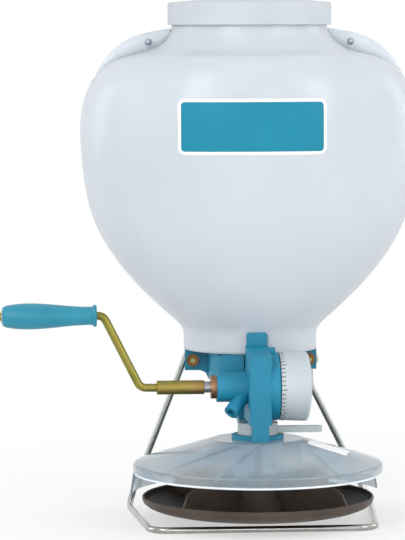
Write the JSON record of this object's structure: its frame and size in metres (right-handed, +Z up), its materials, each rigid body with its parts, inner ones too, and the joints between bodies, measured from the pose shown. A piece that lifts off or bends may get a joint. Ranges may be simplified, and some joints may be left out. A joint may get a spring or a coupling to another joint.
{
  "type": "hand crank granule spreader",
  "caption": "Hand-cranked garden spreader: translucent hopper over a geared crank drive, flow dial and shutter, with a spinner under a frosted cover on a wire stand.",
  "frame": {"origin": "on the floor, under the vertical axis of the spinner", "axes": "+Z up, +X towards the flow dial, -X towards the crank, -Y the front, +Y the side that faces the user"},
  "size_m": [0.4629, 0.3155, 0.5625],
  "materials": {
    "hopper_plastic": "translucent natural blow-moulded polyethylene, satin",
    "lid_plastic": "white moulded polyethylene, satin",
    "teal_plastic": "teal moulded polypropylene, satin",
    "natural_plastic": "uncoloured translucent polypropylene",
    "cover_plastic": "frosted translucent polypropylene",
    "spinner_plastic": "dark brown-black moulded plastic",
    "dial_plastic": "white moulded acetal",
    "gear_plastic": "natural acetal",
    "yellow_zinc": "yellow-passivated zinc plate on steel",
    "bright_steel": "bright zinc-plated steel wire",
    "shaft_steel": "ground steel",
    "bush_bronze": "oiled sintered bronze",
    "stud_steel": "nickel-plated steel"
  },
  "bodies": {
    "frame": {"hopper_shell": "hopper_plastic", "strap_studs": "stud_steel", "hopper_base": "teal_plastic", "gear_case": "teal_plastic", "case_cover": "teal_plastic", "case_cover_screws": "bright_steel", "case_mount_screws": "bright_steel", "agitator_bush": "bush_bronze", "dial_washer": "bright_steel", "dial_screw": "bright_steel", "crank_bush": "bush_bronze", "lower_flange": "teal_plastic", "spinner_bushes": "bush_bronze", "spinner_cover": "cover_plastic", "cover_screws": "bright_steel", "stand_wire": "bright_steel", "stand_bolts": "yellow_zinc", "stand_nuts": "yellow_zinc", "stand_washers": "yellow_zinc"},
    "crank": {"crank_shaft": "shaft_steel", "drive_gear": "gear_plastic", "gear_pin": "shaft_steel", "crank_sleeve": "yellow_zinc", "crank_rod": "yellow_zinc", "crank_pins": "shaft_steel", "grip_push_nut": "bright_steel"},
    "grip": {"crank_grip": "teal_plastic"},
    "spinner": {"spinner_pinion": "gear_plastic", "spinner_shaft": "shaft_steel", "spinner_disc": "spinner_plastic", "spinner_pin": "shaft_steel", "spinner_nut": "bright_steel", "spinner_clip": "shaft_steel"},
    "agitator": {"agitator_pinion": "gear_plastic", "agitator_shaft": "shaft_steel", "agitator_paddle": "gear_plastic"},
    "dial": {"flow_dial": "dial_plastic"},
    "shutter": {"shutter": "natural_plastic"},
    "lid": {"hopper_lid": "lid_plastic"}
  },
  "joints": [
    {"name": "crank_turn", "type": "hinge", "parent": "frame", "child": "crank", "pos_m": [0, 0, 0.1465], "axis": [1, 0, 0], "continuous": true},
    {"name": "grip_spin", "type": "hinge", "parent": "crank", "child": "grip", "pos_m": [-0.22, 0, 0.2245], "axis": [1, 0, 0], "continuous": true},
    {"name": "spinner_spin", "type": "hinge", "parent": "frame", "child": "spinner", "pos_m": [0, 0, 0.05], "axis": [0, 0, 1], "continuous": true},
    {"name": "agitator_spin", "type": "hinge", "parent": "frame", "child": "agitator", "pos_m": [0, 0.07, 0.1465], "axis": [0, 1, 0], "continuous": true},
    {"name": "dial_turn", "type": "hinge", "parent": "frame", "child": "dial", "pos_m": [0.04, 0, 0.1465], "axis": [1, 0, 0], "range_deg": [0, 300]},
    {"name": "shutter_swing", "type": "hinge", "parent": "frame", "child": "shutter", "pos_m": [0, 0, 0.1], "axis": [0, 0, -1], "range_deg": [0, 42]},
    {"name": "lid_lift", "type": "slide", "parent": "frame", "child": "lid", "axis": [0, 0, 1], "range_m": [0, 0.06]}
  ],
  "couplings": [
    {"joint": "spinner_spin", "follows": "crank_turn", "ratio": 4},
    {"joint": "agitator_spin", "follows": "crank_turn", "ratio": -4}
  ]
}
